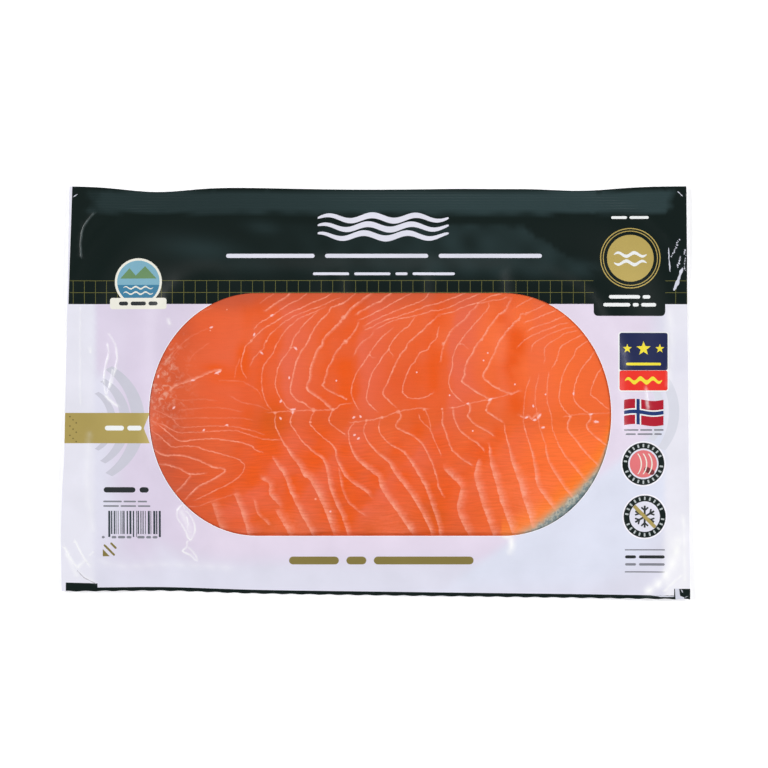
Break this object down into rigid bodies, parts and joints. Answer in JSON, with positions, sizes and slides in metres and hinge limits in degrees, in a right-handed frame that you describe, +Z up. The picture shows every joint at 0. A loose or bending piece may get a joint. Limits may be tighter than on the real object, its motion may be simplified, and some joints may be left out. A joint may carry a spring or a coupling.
{
  "type": "pack of smoked salmon",
  "caption": "Flat vacuum pack of sliced smoked salmon, with a printed film and a clear window with round ends.",
  "frame": {"origin": "middle of the pack's underside, which lies on the table", "axes": "+X along the long side towards the print's right end, +Y towards the print's top edge, +Z up out of the printed face"},
  "size_m": [0.3028, 0.1988, 0.0081],
  "materials": {
    "back_film": "pale printed packing film, satin",
    "front_film": "clear packing film printed off-white and near-black round a clear window, glossy",
    "salmon": "moist orange cold-smoked salmon with pale fat lines"
  },
  "bodies": {
    "root": {"back_film": "back_film", "front_film": "front_film", "slice_1": "salmon", "slice_2": "salmon", "slice_3": "salmon", "slice_4": "salmon", "slice_5": "salmon"}
  },
  "joints": []
}
